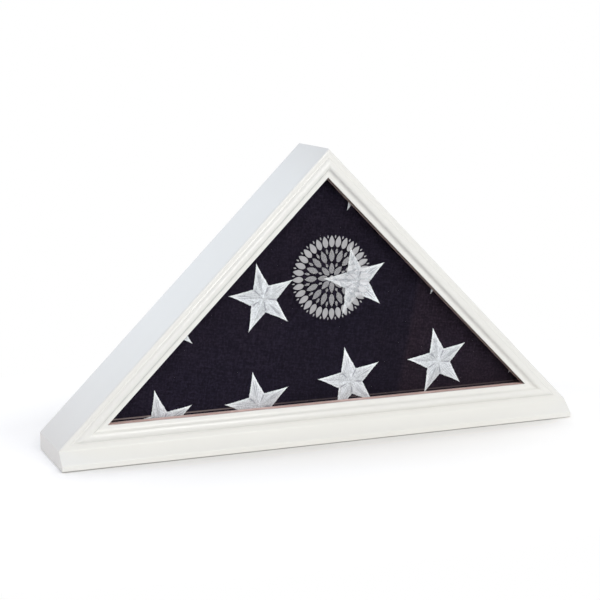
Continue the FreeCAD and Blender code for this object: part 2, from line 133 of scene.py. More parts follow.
# Starts a node group: an input with no starting value is a vector, the rest are numbers
def startGroup(name, inputs, outputs):
    tree = bpy.data.node_groups.new(name, "ShaderNodeTree")
    for label, start in inputs.items():
        kind = "NodeSocketVector" if start is None else "NodeSocketFloat"
        socket = tree.interface.new_socket(label, in_out="INPUT", socket_type=kind)
        if start is not None:
            socket.default_value = start
    for label in outputs:
        tree.interface.new_socket(label, in_out="OUTPUT", socket_type="NodeSocketFloat")
    given = tree.nodes.new("NodeGroupInput").outputs
    result = tree.nodes.new("NodeGroupOutput").inputs
    return tree, given, result


# Uneven tone: slow clouds and fine specks
toneLook = {"cloudScale": 9.0, "cloudDetail": 3.0, "speckScale": 900.0, "speckDetail": 2.0, "speckRough": 0.6}


def makeToneGroup():
    inputs = {"Vector": None, "Cloud Scale": toneLook["cloudScale"], "Speck Scale": toneLook["speckScale"]}
    tree, given, result = startGroup("surfaceTone", inputs, ["Cloud", "Speck"])
    place = given["Vector"]
    cloud = noise(tree, place, given["Cloud Scale"], toneLook["cloudDetail"])
    speck = noise(tree, place, given["Speck Scale"], toneLook["speckDetail"], toneLook["speckRough"])
    tree.links.new(cloud, result["Cloud"])
    tree.links.new(speck, result["Speck"])
    return tree


# Wood grain along X: noise drawn out along the board, once in bands and once in fibres
grainLook = {
    "bandScale": 45.0,
    "bandStretch": (0.07, 1.0, 1.0),
    "bandDetail": 3.0,
    "bandRough": 0.55,
    "bandTwist": 0.6,
    "fibreScale": 520.0,
    "fibreStretch": (0.035, 1.0, 1.0),
    "fibreDetail": 2.0,
    "fibreRough": 0.6,
}


def makeGrainGroup():
    inputs = {"Vector": None, "Band Scale": grainLook["bandScale"], "Fibre Scale": grainLook["fibreScale"]}
    tree, given, result = startGroup("woodGrain", inputs, ["Bands", "Fibre"])
    bandPlace = stretch(tree, given["Vector"], grainLook["bandStretch"])
    fibrePlace = stretch(tree, given["Vector"], grainLook["fibreStretch"])
    bandLook = (grainLook["bandDetail"], grainLook["bandRough"], grainLook["bandTwist"])
    fibreLook = (grainLook["fibreDetail"], grainLook["fibreRough"])
    tree.links.new(noise(tree, bandPlace, given["Band Scale"], *bandLook), result["Bands"])
    tree.links.new(noise(tree, fibrePlace, given["Fibre Scale"], *fibreLook), result["Fibre"])
    return tree


# Plain weave across X and Z: each thread is a half sine across its width, and a product of
# sines says which of the two threads lies on top. Slubs are noise drawn out along each thread.
weaveLook = {
    "threads": 1900.0,  # per metre
    "slubAlongX": (60.0, 700.0, 700.0),
    "slubAlongZ": (700.0, 700.0, 60.0),
}


def makeWeaveGroup():
    inputs = {"Vector": None, "Threads": weaveLook["threads"]}
    tree, given, result = startGroup("clothWeave", inputs, ["Height", "Slub"])
    parts = addNode(tree, "SeparateXYZ", {0: given["Vector"]}).outputs
    waves = []
    for axis in ("X", "Z"):
        turns = maths(tree, "MULTIPLY", parts[axis], given["Threads"])
        waves.append(maths(tree, "SINE", maths(tree, "MULTIPLY", turns, pi)))
    over = maths(tree, "MULTIPLY", *waves)
    across, along = (maths(tree, "ABSOLUTE", wave) for wave in waves)
    top = maths(tree, "MULTIPLY", across, maths(tree, "ADD", over, 1.0))
    under = maths(tree, "MULTIPLY", along, maths(tree, "SUBTRACT", 1.0, over))
    tree.links.new(maths(tree, "MULTIPLY", maths(tree, "MAXIMUM", top, under), 0.5), result["Height"])
    slubX = noise(tree, stretch(tree, given["Vector"], weaveLook["slubAlongX"]), 1.0)
    slubZ = noise(tree, stretch(tree, given["Vector"], weaveLook["slubAlongZ"]), 1.0)
    tree.links.new(maths(tree, "MULTIPLY", maths(tree, "ADD", slubX, slubZ), 0.5), result["Slub"])
    return tree


# Fine scratches: thin crests of noise drawn out along two directions
scratchLook = {
    "alongX": (90.0, 3000.0, 3000.0),
    "alongZ": (2600.0, 2600.0, 120.0),
    "crest": (0.62, 0.74),  # a scratch starts at the first and is full at the second
}


def makeScratchGroup():
    tree, given, result = startGroup("fineScratches", {"Vector": None, "Scale": 1.0}, ["Mask"])
    first = noise(tree, stretch(tree, given["Vector"], scratchLook["alongX"]), given["Scale"])
    second = noise(tree, stretch(tree, given["Vector"], scratchLook["alongZ"]), given["Scale"])
    crest = remap(tree, maths(tree, "MAXIMUM", first, second), *scratchLook["crest"], 0.0, 1.0)
    tree.links.new(crest, result["Mask"])
    return tree


toneGroup = makeToneGroup()
grainGroup = makeGrainGroup()
weaveGroup = makeWeaveGroup()
scratchGroup = makeScratchGroup()
print("node groups made")


def emptyMaterial(name):
    material = bpy.data.materials.new(name)
    material.use_nodes = True
    material.node_tree.nodes.clear()
    return material, material.node_tree


# A material with a Principled shader on its output
def startMaterial(name):
    material, tree = emptyMaterial(name)
    shader = addNode(tree, "BsdfPrincipled")
    addNode(tree, "OutputMaterial", {"Surface": shader.outputs[0]})
    return material, tree, shader


# Object coordinates turned about Y, so that X runs along a board or a thread
def turnedPlace(tree, turn):
    place = addNode(tree, "TexCoord").outputs["Object"]
    return addNode(tree, "Mapping", {"Vector": place, "Rotation": (0, radians(turn), 0)}).outputs[0]


# Satin white paint: faint clouds, the peel of a sprayed coat and a trace of the grain below
paint = {
    "colour": (0.858, 0.858, 0.828),
    "shade": (0.828, 0.826, 0.795),
    "rough": (0.17, 0.22),
    "toneSpan": (0.3, 0.7),  # the span of noise that is spread over the tones
    "bandTone": (0.7, 1.0),
    "cloudScale": 7.0,
    "peelScale": 420.0,
    "peelShare": 0.55,
    "bump": 0.007,
    "bumpDistance": 0.00006,
}


def makePaint(name, turn):
    material, tree, shader = startMaterial(name)
    place = turnedPlace(tree, turn)
    toneInputs = {"Vector": place, "Cloud Scale": paint["cloudScale"], "Speck Scale": paint["peelScale"]}
    tone = useGroup(tree, toneGroup, toneInputs)
    grain = useGroup(tree, grainGroup, {"Vector": place})
    bands = remap(tree, grain["Bands"], *paint["toneSpan"], *paint["bandTone"])
    share = maths(tree, "MULTIPLY", tone["Cloud"], bands)
    heights = {0: paint["peelShare"], 2: grain["Fibre"], 3: tone["Speck"]}
    height = addNode(tree, "Mix", heights, data_type="FLOAT").outputs[0]
    setInputs(tree, shader, {
        "Base Color": mixColour(tree, share, paint["colour"], paint["shade"]),
        "Roughness": remap(tree, tone["Cloud"], *paint["toneSpan"], *paint["rough"]),
        "Normal": bumpFrom(tree, height, paint["bump"], paint["bumpDistance"]),
    })
    return material


# Wood with its grain: stained strips behind the glass and bare glue blocks
woods = {
    "stopWood": {"pale": (0.45, 0.33, 0.31), "dark": (0.33, 0.23, 0.21), "rough": 0.55, "bump": 0.35},
    # the strips' wood made paler for the bottom strip: painted light on its lit top face
    "litSillWood": {"pale": (0.81, 0.585, 0.565), "dark": (0.64, 0.44, 0.42), "rough": 0.55, "bump": 0.35},
    "bareWood": {"pale": (0.68, 0.53, 0.36), "dark": (0.50, 0.35, 0.20), "rough": 0.70, "bump": 0.5},
}
woodGrain = {
    "bandSpan": (0.35, 0.68),
    "bandShare": 0.6,
    "fibreSpan": (0.35, 0.7),
    "fibreShare": 0.6,
    "roughSpan": (0.3, 0.7),
    "roughSpread": (-0.06, 0.1),
    "bumpDistance": 0.00015,
}


def makeWood(kind, name, turn):
    finish = woods[kind]
    material, tree, shader = startMaterial(name)
    grain = useGroup(tree, grainGroup, {"Vector": turnedPlace(tree, turn)})
    bands = remap(tree, grain["Bands"], *woodGrain["bandSpan"], 0.0, 1.0)
    streaks = remap(tree, grain["Fibre"], *woodGrain["fibreSpan"], 0.0, woodGrain["fibreShare"])
    both = maths(tree, "ADD", maths(tree, "MULTIPLY", bands, woodGrain["bandShare"]), streaks)
    share = maths(tree, "MINIMUM", both, 1.0)
    smooth, coarse = (finish["rough"] + spread for spread in woodGrain["roughSpread"])
    setInputs(tree, shader, {
        "Base Color": mixColour(tree, share, finish["pale"], finish["dark"]),
        "Roughness": remap(tree, grain["Fibre"], *woodGrain["roughSpan"], smooth, coarse),
        "Normal": bumpFrom(tree, grain["Fibre"], finish["bump"], woodGrain["bumpDistance"]),
    })
    return material


# Thin pane with a no-glare coat, a little green, which hardly bends or mirrors and lets the
# lamps through to what lies behind
glass = {
    "tint": (0.975, 0.99, 0.982),
    "tintDeep": (0.955, 0.98, 0.968),
    "glare": 0.0,
    "ior": 1.02,
}


def makeGlass():
    material, tree, shader = startMaterial("clearGlass")
    tone = useGroup(tree, toneGroup, {"Vector": turnedPlace(tree, 0)})
    setInputs(tree, shader, {
        "Base Color": mixColour(tree, tone["Cloud"], glass["tint"], glass["tintDeep"]),
        "Roughness": 0.0,
        "IOR": glass["ior"],
        "Transmission Weight": 1.0,
        "Specular Tint": (glass["glare"], glass["glare"], glass["glare"], 1),
    })
    clear = addNode(tree, "BsdfTransparent", {"Color": (*glass["tint"], 1)})
    path = addNode(tree, "LightPath").outputs["Is Shadow Ray"]
    both = addNode(tree, "MixShader", {0: path, 1: shader.outputs[0], 2: clear.outputs[0]})
    setInputs(tree, tree.get_output_node("ALL"), {"Surface": both.outputs[0]})
    return material


# Woven cotton: dark navy threads with slubs, a soft sheen and a faint reddish cast in patches
# Right of a leaning edge the front takes a painted warm reflection
cotton = {
    "dark": (0.0061, 0.0048, 0.0100),
    "light": (0.0164, 0.0128, 0.0239),
    "warm": (0.0182, 0.0117, 0.0166),
    "turn": -9.0,
    "threads": 1900.0,
    "slubSpan": (0.35, 0.65),
    "slubTone": (0.2, 1.0),
    "mottleScale": 380.0,
    "mottleSpan": (0.34, 0.66),
    "mottleTone": (0.15, 1.6),
    # the low parts of the weave are dimmed to the first share: painted shade in its gaps
    "weaveShadeTone": (0.8, 1.0),
    "patchSpan": (0.4, 0.75),
    "patchShare": 0.5,
    "span": (-0.22, 0.09),  # the cloth is paler at the left of this span
    "spanTone": (1.12, 0.86),
    "reflectionEdge": (0.085, 0.0925),  # right of this leaning edge it has a painted warm reflection
    "reflectionLean": -0.2,
    "reflectionTint": (1.36, 1.18, 1.02),
    # the line at the foot is a pale stripe's edge peeping out, painted in the shade it lies in
    "hemShadedColour": (0.21, 0.165, 0.165),
    "hemLow": 0.0437,
    "hemHigh": 0.0451,
    "hemEdge": 0.0003,
    "hemSpan": (-0.2, -0.03),  # the hem shows most at the left of this span
    "hemShare": (1.0, 0.28),
    "frontDepth": 0.012,  # the hem and the painted warm reflection show on the front only
    "rough": 0.88,
    "specular": 0.04,
    "sheen": 0.02,
    "sheenRough": 0.5,
    "slubBump": 0.5,
    "bump": 0.25,
    "bumpDistance": 0.00012,
}


# A line along the flag's front, near its foot: Z lies between two heights with soft edges
def hemMask(tree, parts, onFront):
    low, high, edge = cotton["hemLow"], cotton["hemHigh"], cotton["hemEdge"]
    overFoot = remap(tree, parts["Z"], low - edge, low, 0.0, 1.0)
    underTop = remap(tree, parts["Z"], high, high + edge, 1.0, 0.0)
    hemHere = remap(tree, parts["X"], *cotton["hemSpan"], *cotton["hemShare"])
    band = maths(tree, "MULTIPLY", maths(tree, "MULTIPLY", overFoot, underTop), onFront)
    return maths(tree, "MULTIPLY", band, hemHere)


def makeCotton():
    material, tree, shader = startMaterial("navyCotton")
    place = turnedPlace(tree, cotton["turn"])
    weave = useGroup(tree, weaveGroup, {"Vector": place, "Threads": cotton["threads"]})
    tone = useGroup(tree, toneGroup, {"Vector": place, "Speck Scale": cotton["mottleScale"]})
    slub = remap(tree, weave["Slub"], *cotton["slubSpan"], *cotton["slubTone"])
    mottle = remap(tree, tone["Speck"], *cotton["mottleSpan"], *cotton["mottleTone"])
    # painted shade: the weave is darker down in its gaps
    weaveGapShade = remap(tree, weave["Height"], 0.0, 1.0, *cotton["weaveShadeTone"])
    lit = maths(tree, "MULTIPLY", maths(tree, "MULTIPLY", slub, mottle), weaveGapShade)
    patch = remap(tree, tone["Cloud"], *cotton["patchSpan"], 0.0, cotton["patchShare"])
    base = mixColour(tree, patch, cotton["light"], cotton["warm"])
    plain = mixColour(tree, lit, cotton["dark"], base)
    parts = addNode(tree, "SeparateXYZ", {0: addNode(tree, "TexCoord").outputs["Object"]}).outputs
    toned = dimColour(tree, plain, remap(tree, parts["X"], *cotton["span"], *cotton["spanTone"]))
    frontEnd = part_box("folded_flag")[0][1] + cotton["frontDepth"]
    onFront = remap(tree, parts["Y"], frontEnd, frontEnd + cotton["hemEdge"], 1.0, 0.0)
    # right of a leaning edge the front takes a painted warm reflection
    leaning = maths(tree, "ADD", parts["X"], maths(tree, "MULTIPLY", parts["Z"], cotton["reflectionLean"]))
    reflectionShare = maths(tree, "MULTIPLY", onFront, remap(tree, leaning, *cotton["reflectionEdge"], 0.0, 1.0))
    cloth = mixColour(tree, reflectionShare, toned, stretch(tree, plain, cotton["reflectionTint"]))
    slubHeight = maths(tree, "MULTIPLY", weave["Slub"], cotton["slubBump"])
    height = maths(tree, "ADD", weave["Height"], slubHeight)
    setInputs(tree, shader, {
        "Base Color": mixColour(tree, hemMask(tree, parts, onFront), cloth, cotton["hemShadedColour"]),
        "Roughness": cotton["rough"],
        "Specular IOR Level": cotton["specular"],
        "Sheen Weight": cotton["sheen"],
        "Sheen Roughness": cotton["sheenRough"],
        "Normal": bumpFrom(tree, height, cotton["bump"], cotton["bumpDistance"]),
    })
    return material


# Satin stitch: threads side by side along U, each a half sine, with uneven ones among them
# The gaps between threads take painted shade, and a painted sheen follows each thread's direction
thread = {
    "colour": (0.80, 0.80, 0.855),
    "shade": (0.375, 0.375, 0.415),
    # painted shade for the grooves; the crest colour is a painted highlight
    "groove": (0.25, 0.245, 0.285),
    "crest": (0.95, 0.952, 0.98),
    "pitch": 0.00062,
    "gapShadeShare": 0.5,  # how much painted shade the gaps between threads get
    "streak": (0.006, 0.0013),  # length and width of the streaks along an arm
    "streakDetail": 3.0,
    "streakRough": 0.6,
    "streakShare": 0.7,
    "mottleScale": 650.0,
    "mottleShare": 0.6,
    "patchSpan": (0.45, 0.7),
    # the least share of the painted sheen
    "paintedSheenLow": 0.80,
    "rough": (0.45, 0.65),
    "roughSpan": (0.3, 0.7),
    "sheen": 0.1,
    "streakBump": 0.8,
    "bump": 0.6,
    "bumpDistance": 0.00012,
}


def makeThread():
    material, tree, shader = startMaterial("starThread")
    lay = addNode(tree, "UVMap", uv_map="stitch").outputs[0]
    along = addNode(tree, "SeparateXYZ", {0: lay}).outputs["X"]
    ridge = maths(tree, "ABSOLUTE", maths(tree, "SINE", maths(tree, "MULTIPLY", along, pi / thread["pitch"])))
    # painted shade in the gaps between threads
    gapShade = maths(tree, "MULTIPLY", maths(tree, "SUBTRACT", 1.0, ridge), thread["gapShadeShare"])
    length, width = thread["streak"]
    drawn = stretch(tree, lay, (1 / length, 1 / width, 0.0))
    uneven = noise(tree, drawn, 1.0, thread["streakDetail"], thread["streakRough"])
    toneInputs = {"Vector": turnedPlace(tree, 0), "Speck Scale": thread["mottleScale"]}
    mottle = useGroup(tree, toneGroup, toneInputs)["Speck"]
    streaks = remap(tree, uneven, *thread["patchSpan"], 0.0, thread["streakShare"])
    patches = remap(tree, mottle, *thread["patchSpan"], 0.0, thread["mottleShare"])
    # the gaps' painted shade, the streaks and the patches together
    worn = maths(tree, "ADD", gapShade, maths(tree, "ADD", streaks, patches))
    base = mixColour(tree, maths(tree, "MINIMUM", worn, 1.0), thread["colour"], thread["shade"])
    # painted sheen: each half of an arm is lighter or darker by the direction of its threads
    paintedSheenShare = addNode(tree, "Attribute", attribute_name="paintedSheen").outputs["Fac"]
    base = dimColour(tree, base, remap(tree, paintedSheenShare, 0.0, 1.0, thread["paintedSheenLow"], 1.0))
    # the painted shading: over zero it is painted shade in a groove, under zero a painted highlight along a
    # line
    paintedShading = addNode(tree, "Attribute", attribute_name="paintedShading").outputs["Fac"]
    shadeShare = remap(tree, paintedShading, 0.0, 1.0, 0.0, 1.0)
    highlightShare = remap(tree, paintedShading, -1.0, 0.0, 1.0, 0.0)
    height = maths(tree, "ADD", ridge, maths(tree, "MULTIPLY", uneven, thread["streakBump"]))
    setInputs(tree, shader, {
        "Base Color": mixColour(tree, shadeShare, mixColour(tree, highlightShare, base, thread["crest"]), thread["groove"]),
        "Roughness": remap(tree, uneven, *thread["roughSpan"], *thread["rough"]),
        "Sheen Weight": thread["sheen"],
        "Normal": bumpFrom(tree, height, thread["bump"], thread["bumpDistance"]),
    })
    return material


# Pressed fibreboard: matted brown fibres with pale and dark flecks
fibreboard = {
    "brown": (0.30, 0.195, 0.115),
    "pale": (0.43, 0.30, 0.185),
    "dark": (0.17, 0.105, 0.06),
    "cloudScale": 14.0,
    "cloudSpan": (0.35, 0.7),
    "cloudShare": 0.7,
    "fleckScale": 700.0,
    "fleckSpan": (0.5, 0.72),
    "fleckShare": 0.8,
    "strandScale": 900.0,
    "strandStretch": (1.0, 1.0, 0.3),
    "strandLook": (3.0, 0.6, 1.5),  # detail, roughness and twist of the noise
    "strandSpan": (0.55, 0.75),
    "strandShare": 0.5,
    "rough": (0.58, 0.78),
    "roughSpan": (0.3, 0.7),
    "bump": 0.4,
    "bumpDistance": 0.00012,
}


def makeFibreboard():
    material, tree, shader = startMaterial("fibreboard")
    place = turnedPlace(tree, 0)
    scales = {"Cloud Scale": fibreboard["cloudScale"], "Speck Scale": fibreboard["fleckScale"]}
    tone = useGroup(tree, toneGroup, {"Vector": place, **scales})
    drawn = stretch(tree, place, fibreboard["strandStretch"])
    strands = noise(tree, drawn, fibreboard["strandScale"], *fibreboard["strandLook"])
    clouds = remap(tree, tone["Cloud"], *fibreboard["cloudSpan"], 0.0, fibreboard["cloudShare"])
    flecks = remap(tree, tone["Speck"], *fibreboard["fleckSpan"], 0.0, fibreboard["fleckShare"])
    paleStrands = remap(tree, strands, *fibreboard["strandSpan"], 0.0, fibreboard["strandShare"])
    base = mixColour(tree, clouds, fibreboard["brown"], fibreboard["pale"])
    flecked = mixColour(tree, flecks, base, fibreboard["dark"])
    setInputs(tree, shader, {
        "Base Color": mixColour(tree, paleStrands, flecked, fibreboard["pale"]),
        "Roughness": remap(tree, tone["Speck"], *fibreboard["roughSpan"], *fibreboard["rough"]),
        "Normal": bumpFrom(tree, strands, fibreboard["bump"], fibreboard["bumpDistance"]),
    })
    return material


# Plated and lacquered metals: clouded polish with fine scratches
metals = {
    "brass": {"colour": (0.74, 0.53, 0.22), "shade": (0.60, 0.40, 0.15), "rough": (0.20, 0.36)},
    "steel": {"colour": (0.62, 0.62, 0.63), "shade": (0.50, 0.50, 0.52), "rough": (0.30, 0.45)},
    "nickel": {"colour": (0.72, 0.70, 0.67), "shade": (0.62, 0.60, 0.57), "rough": (0.12, 0.25)},
}
polish = {
    "cloudScale": 160.0,
    "cloudSpan": (0.3, 0.7),
    "scratchShare": 0.3,
    "wornSpan": (0.3, 0.9),
    "bump": 0.25,
    "bumpDistance": 0.00003,
}


def makeMetal(name):
    finish = metals[name]
    material, tree, shader = startMaterial(name)
    place = turnedPlace(tree, 0)
    cloud = useGroup(tree, toneGroup, {"Vector": place, "Cloud Scale": polish["cloudScale"]})["Cloud"]
    scratch = useGroup(tree, scratchGroup, {"Vector": place})["Mask"]
    worn = maths(tree, "ADD", cloud, maths(tree, "MULTIPLY", scratch, polish["scratchShare"]))
    share = remap(tree, cloud, *polish["cloudSpan"], 0.0, 1.0)
    setInputs(tree, shader, {
        "Base Color": mixColour(tree, share, finish["colour"], finish["shade"]),
        "Metallic": 1.0,
        "Roughness": remap(tree, worn, *polish["wornSpan"], *finish["rough"]),
        "Normal": bumpFrom(tree, scratch, polish["bump"], polish["bumpDistance"]),
    })
    return material


# Frosted etching: a fine grained, half-clear white
frost = {
    "colour": (0.90, 0.90, 0.92),
    "alpha": (0.27, 0.36),
    "rough": (0.6, 0.85),
    "toneSpan": (0.3, 0.7),
    "cloudScale": 60.0,
    "grainScale": 2500.0,
    "specular": 0.1,
}


def makeFrost():
    material, tree, shader = startMaterial("etchedFrost")
    scales = {"Cloud Scale": frost["cloudScale"], "Speck Scale": frost["grainScale"]}
    tone = useGroup(tree, toneGroup, {"Vector": turnedPlace(tree, 0), **scales})
    mixed = maths(tree, "MULTIPLY", maths(tree, "ADD", tone["Cloud"], tone["Speck"]), 0.5)
    strength = addNode(tree, "Attribute", attribute_name="strength").outputs["Fac"]
    alpha = remap(tree, mixed, *frost["toneSpan"], *frost["alpha"])
    setInputs(tree, shader, {
        "Base Color": (*frost["colour"], 1),
        "Roughness": remap(tree, tone["Speck"], *frost["toneSpan"], *frost["rough"]),
        "Specular IOR Level": frost["specular"],
        "Alpha": maths(tree, "MULTIPLY", strength, alpha),
    })
    return material


finishes = {
    "white_paint": makePaint("whitePaint", 0),
    # the bottom strip takes the paler copy of the strips' wood: painted light
    "stop_wood": makeWood("litSillWood", "litSillWood", 0),
    "bare_wood": makeWood("bareWood", "bareWood", 0),
    "clear_glass": makeGlass(),
    "navy_cotton": makeCotton(),
    "star_thread": makeThread(),
    "back_board": makeFibreboard(),
    "brass": makeMetal("brass"),
    "steel": makeMetal("steel"),
    "plated_magnet": makeMetal("nickel"),
}
# The sloping boards, rails and strips have their grain along their own length
boardTurns = {"left": 45, "right": -45}
slopingFinishes = {}
for side, turn in boardTurns.items():
    name = side.capitalize()
    slopingFinishes["white_paint", side] = makePaint("whitePaint" + name, turn)
    slopingFinishes["stop_wood", side] = makeWood("stopWood", "stopWood" + name, turn)
etchedFrost = makeFrost()

for part in subparts:
    node, slot = part["node"], part["material_slot"]
    side = node.rsplit("_", 1)[-1]
    material = slopingFinishes.get((slot, side), finishes[slot])
    nodes[node].data.materials.clear()
    nodes[node].data.materials.append(material)
print("materials:", len(bpy.data.materials))


# Faces of a grid of points, row by row, closed round its columns
def ringFaces(rows, columns):
    row, column = np.meshgrid(np.arange(rows - 1), np.arange(columns), indexing="ij")
    after = (column + 1) % columns
    below, above = row * columns, (row + 1) * columns
    return np.stack([below + column, below + after, above + after, above + column], -1).reshape(-1, 4)


# Faces that close a ring of points on one pole
def poleFaces(pole, ringStart, columns):
    column = np.arange(columns)
    after = (column + 1) % columns
    return np.stack([np.full(columns, pole), ringStart + after, ringStart + column], -1)


def addPiece(name, points, faceSets, material):
    mesh = bpy.data.meshes.new(name)
    faces = [face for faceSet in faceSets for face in faceSet.tolist()]
    mesh.from_pydata(points.tolist(), [], faces)
    mesh.polygons.foreach_set("use_smooth", np.ones(len(faces), bool))
    mesh.materials.append(material)
    piece = bpy.data.objects.new(name, mesh)
    scene.collection.objects.link(piece)
    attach(piece, "case")
    return piece


def addPointValues(mesh, name, values):
    mesh.attributes.new(name, "FLOAT", "POINT").data.foreach_set("value", values)


# Share of the way from low to high, held at the ends: 3 s^2 - 2 s^3
def smoothStep(value, low, high):
    share = np.clip((value - low) / (high - low), 0, 1)
    return share * share * (3 - 2 * share)


# Rises from start to full and falls from fade to end
def window(value, start, full, fade, end):
    return smoothStep(value, start, full) * (1 - smoothStep(value, fade, end))


# Folded flag: outline and depth from its place in the case
flag = {
    "cornerRadius": 0.007,
    "edgeSteps": 138,
    "cornerSteps": 14,
    "faceRings": 100,
    "backRings": 36,
    "outerFold": 0.0095,  # depth of the first and the last fold
    "innerFolds": 7,
    "foldSteps": 7,
    "foldUneven": 0.18,
    "foldDrawnIn": 0.0012,
    "foldSpread": 0.5,
    "crown": 0.0014,  # how far the middle of the face stands forward
    "crownStart": 0.010,
    "crownReach": 0.070,
    "swell": 0.00035,
    "swellWaves": ((31, 17, 0), (-11, 43, 0), (78, -52, 1)),  # by X, by Z and a shift
    "thirdWave": 0.6,
    "seed": 7,
}
creases = {
    "centre": (0.150, 0.232),
    "from": 206.0,
    "to": 262.0,
    "count": 9,
    "start": 0.050,
    "fadeIn": 0.6,
    "reach": 0.175,
    "fadeOut": 0.5,
    "width": 0.0022,
    "widen": 4,  # per metre along the crease
    "height": 0.0011,
    "waver": 0.004,
    "waverTurns": 40,
    "turnJitter": 0.4,
    "reachJitter": 0.35,
    "widthJitter": 0.4,
    "heightJitter": 0.5,
}
flagLow, flagHigh = (np.array(corner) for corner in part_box("folded_flag"))
flagFront, flagBack = flagLow[1], flagHigh[1]
flagFoot = flagLow[2]
flagSpan = flagHigh[0] + sqrt(2) * flag["cornerRadius"]
flagApex = flagFoot + flagSpan
flagCorners = np.array([(-flagSpan, flagFoot), (flagSpan, flagFoot), (0, flagApex)])
flagCentre = np.array((0, flagFoot + flagSpan * (sqrt(2) - 1)))
chance = np.random.default_rng(flag["seed"])
creaseJitter = chance.uniform(-1, 1, (creases["count"], 4))


# Distance of a point from the nearer of the flag's two slopes
def slopeDepth(x, z):
    return (flagApex - z - np.abs(x)) / sqrt(2)


# Depth of a point inside the flag's outline: the least distance to its three sides
def edgeDepth(x, z):
    return np.minimum(slopeDepth(x, z), z - flagFoot)


# How far the cloth stands forward: a crown that grows from the edge inwards, slow swells as
# products of sines, and a fan of creases, each a bell curve across its line
def clothLift(x, z):
    inside = smoothStep(edgeDepth(x, z), flag["crownStart"], flag["crownReach"])
    first, second, third = (np.sin(byX * x + byZ * z + shift) for byX, byZ, shift in flag["swellWaves"])
    swell = first * second + flag["thirdWave"] * third
    lift = flag["crown"] * inside + flag["swell"] * inside * swell
    dx, dz = x - creases["centre"][0], z - creases["centre"][1]
    step = (creases["to"] - creases["from"]) / (creases["count"] - 1)
    for n, (turnBy, reachBy, widthBy, heightBy) in enumerate(creaseJitter):
        turn = radians(creases["from"] + step * (n + creases["turnJitter"] * turnBy))
        along = dx * cos(turn) + dz * sin(turn)
        waver = creases["waver"] * np.sin(along * creases["waverTurns"] + n)
        across = dz * cos(turn) - dx * sin(turn) + waver
        width = creases["width"] * (1 + creases["widthJitter"] * widthBy) * (1 + along * creases["widen"])
        reach = creases["reach"] * (1 + creases["reachJitter"] * reachBy)
        height = creases["height"] * (1 + creases["heightJitter"] * heightBy)
        start = creases["start"]
        shown = window(along, creases["fadeIn"] * start, start, creases["fadeOut"] * reach, reach)
        lift = lift + height * inside * shown * np.exp(-((across / width) ** 2))
    return lift


# Rounded triangle: straight sides joined by arcs, with the outward direction at each point
def roundedTriangle():
    arcs, arcsOut = [], []
    for n in range(3):
        before, corner, after = flagCorners[n - 1], flagCorners[n], flagCorners[(n + 1) % 3]
        toBefore = (before - corner) / np.linalg.norm(before - corner)
        toAfter = (after - corner) / np.linalg.norm(after - corner)
        half = np.arccos(toBefore @ toAfter) / 2
        bisector = (toBefore + toAfter) / np.linalg.norm(toBefore + toAfter)
        middle = corner + bisector * flag["cornerRadius"] / np.sin(half)
        facing = np.arctan2(-bisector[1], -bisector[0])
        turns = facing + np.linspace(-1, 1, flag["cornerSteps"]) * (pi / 2 - half)
        arcsOut.append(np.stack([np.cos(turns), np.sin(turns)], -1))
        arcs.append(middle + flag["cornerRadius"] * arcsOut[-1])
    share = np.linspace(0, 1, flag["edgeSteps"] + 2)[1:-1, None]
    points, outward = [], []
    for n, (arc, arcOut) in enumerate(zip(arcs, arcsOut)):
        sideEnd = arcs[(n + 1) % 3][0]
        points += [arc, arc[-1] + (sideEnd - arc[-1]) * share]
        outward += [arcOut, np.repeat(arcOut[-1:], flag["edgeSteps"], 0)]
    return np.concatenate(points), np.concatenate(outward)


# Section of the folded edges, from front to back: a row of half circles, one for each fold,
# as (inset from the outline, place along the depth)
def foldSection():
    outer = flag["outerFold"]
    inner = 1 + flag["foldUneven"] * chance.uniform(-1, 1, flag["innerFolds"])
    room = flagBack - flagFront - 2 * outer
    depths = np.concatenate([[outer], inner / inner.sum() * room, [outer]])
    starts = flagFront + np.concatenate([[0], np.cumsum(depths)[:-1]])
    drawnIn = np.abs(chance.normal(0, flag["foldSpread"], len(depths))) * flag["foldDrawnIn"]
    drawnIn[[0, -1]] = 0
    turns = np.linspace(0, pi, flag["foldSteps"] + 1)
    radius = depths[:, None] / 2
    inset = radius * (1 - np.sin(turns)) + drawnIn[:, None]
    inset = np.minimum(inset, outer / 2)
    place = starts[:, None] + radius * (1 - np.cos(turns))
    return inset.ravel(), place.ravel()


# Rings that fill a flat face: the wall's outline drawn in towards the centre, smallest first
def innerRings(wall, rings):
    share = np.linspace(0, 1, rings + 1)[1:-1, None, None]
    return flagCentre + (wall - flagCentre) * share


def makeFlag():
    outline, outward = roundedTriangle()
    inset, place = foldSection()
    columns = len(outline)
    walls = outline[None] - inset[:, None, None] * outward[None]
    wallY = np.repeat(place[:, None], columns, 1)
    front = innerRings(walls[0], flag["faceRings"])
    back = innerRings(walls[-1], flag["backRings"])[::-1]
    frontY = flagFront - clothLift(front[..., 0], front[..., 1])
    backY = np.full(back.shape[:2], flagBack)
    rings = np.concatenate([front, walls, back])
    ringY = np.concatenate([frontY, wallY, backY])
    points = np.stack([rings[..., 0], ringY, rings[..., 1]], -1).reshape(-1, 3)
    poles = np.array([
        (flagCentre[0], flagFront - clothLift(*flagCentre), flagCentre[1]),
        (flagCentre[0], flagBack, flagCentre[1]),
    ])
    count = len(points)
    lastRing = count - columns
    quads = ringFaces(len(rings), columns)[:, ::-1]
    frontFan = poleFaces(count, 0, columns)[:, ::-1]
    backFan = poleFaces(count + 1, lastRing, columns)
    faceSets = [quads, frontFan, backFan]
    piece = addPiece("foldedFlag", np.concatenate([points, poles]), faceSets, finishes["navy_cotton"])
    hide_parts("folded_flag")
    return piece


foldedFlag = makeFlag()
print("flag:", len(foldedFlag.data.polygons), "faces")

